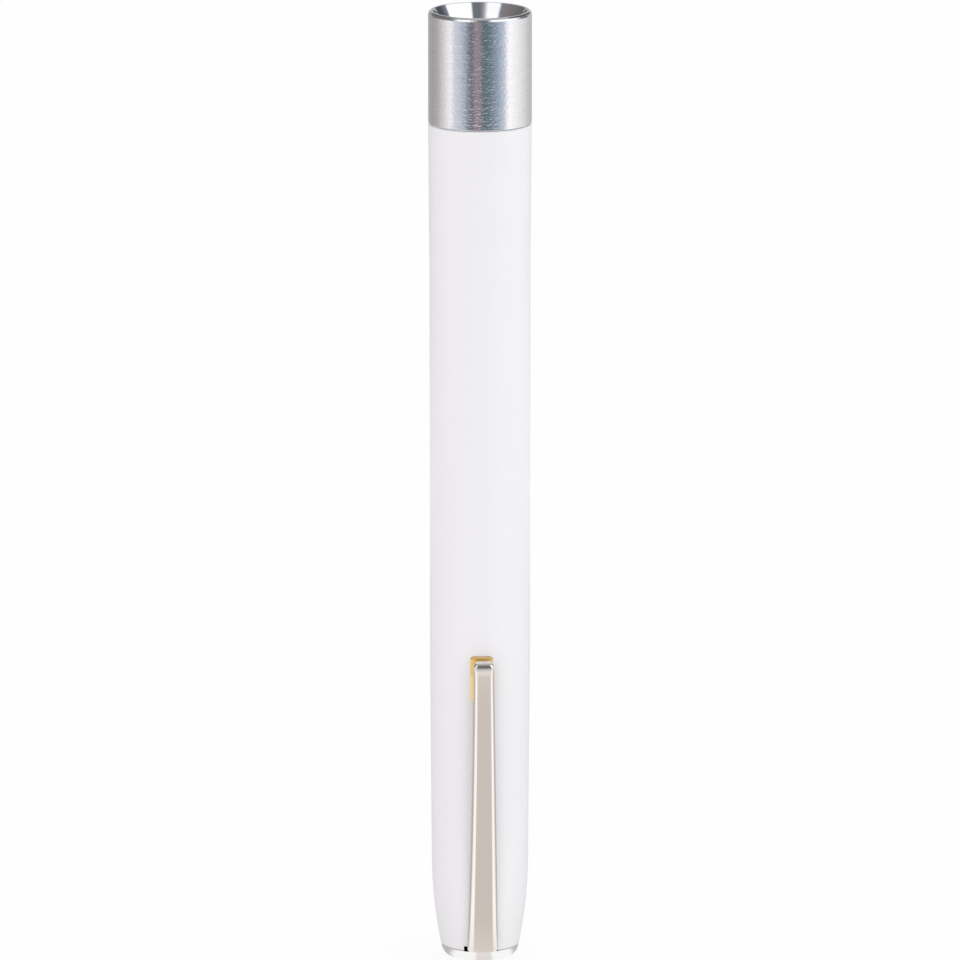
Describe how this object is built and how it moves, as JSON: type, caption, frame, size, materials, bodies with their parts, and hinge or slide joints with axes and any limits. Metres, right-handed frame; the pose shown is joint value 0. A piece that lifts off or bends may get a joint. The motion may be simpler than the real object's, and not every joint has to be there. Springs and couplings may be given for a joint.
{
  "type": "penlight",
  "caption": "Slim penlight with a turned metal head, a conical mouth round a lens-end lamp, a white lacquered tube for dry cells and a sprung pocket clip that presses on a brass contact.",
  "frame": {"origin": "centre of the flat end of the tail cap", "axes": "+Z along the tube from tail to head, the clip on the -Y side, +X to the right seen from the clip's side"},
  "size_m": [0.014, 0.0161, 0.1318],
  "materials": {
    "lacquer": "gloss",
    "turned_metal": "satin",
    "nickel_plate": "polished",
    "brass": "satin",
    "fibre": "matte",
    "spring_wire": "satin",
    "cell_steel": "satin",
    "cell_filling": "matte",
    "cell_film": "gloss",
    "cell_nylon": "matte",
    "lamp_nickel": "satin",
    "lamp_glass": "gloss",
    "black_glass": "gloss",
    "solder": "satin",
    "bead_glass": "gloss",
    "lead_wire": "satin",
    "filament": "satin"
  },
  "bodies": {
    "root": {"body_tube": "lacquer", "contact_plate": "brass", "tail_washer": "fibre", "tail_cap": "nickel_plate", "tail_bush": "fibre", "spring_nut": "brass", "battery_spring": "spring_wire"},
    "cells": {"rear_cell_can": "cell_steel", "rear_cell_core": "cell_filling", "rear_cell_jacket": "cell_film", "rear_cell_seal": "cell_nylon", "rear_cell_plate": "cell_steel", "front_cell_can": "cell_steel", "front_cell_core": "cell_filling", "front_cell_jacket": "cell_film", "front_cell_seal": "cell_nylon", "front_cell_plate": "cell_steel"},
    "head": {"head": "turned_metal", "lamp_socket": "brass", "lamp_shell": "lamp_nickel", "lamp_glass": "lamp_glass", "lamp_insulator": "black_glass", "lamp_contact": "solder", "lamp_bead": "bead_glass", "lamp_wires": "lead_wire", "lamp_filament": "filament"},
    "clip": {"clip": "nickel_plate"}
  },
  "joints": [
    {"name": "cells_slide", "type": "slide", "parent": "root", "child": "cells", "axis": [0, 0, 1], "range_m": [0, 0.006], "deforming": ["battery_spring"]},
    {"name": "head_turn", "type": "hinge", "parent": "cells", "child": "head", "pos_m": [0, 0, 0.1164], "axis": [0, 0, 1], "range_deg": [0, 2160]},
    {"name": "clip_flex", "type": "hinge", "parent": "root", "child": "clip", "pos_m": [0, -0.0057, 0.0024], "axis": [1, 0, 0], "range_deg": [-0.8, 3.5], "stiffness_Nm_per_rad": 6}
  ],
  "couplings": [
    {"joint": "head_turn", "follows": "cells_slide", "rad_per_m": 6283.2}
  ]
}
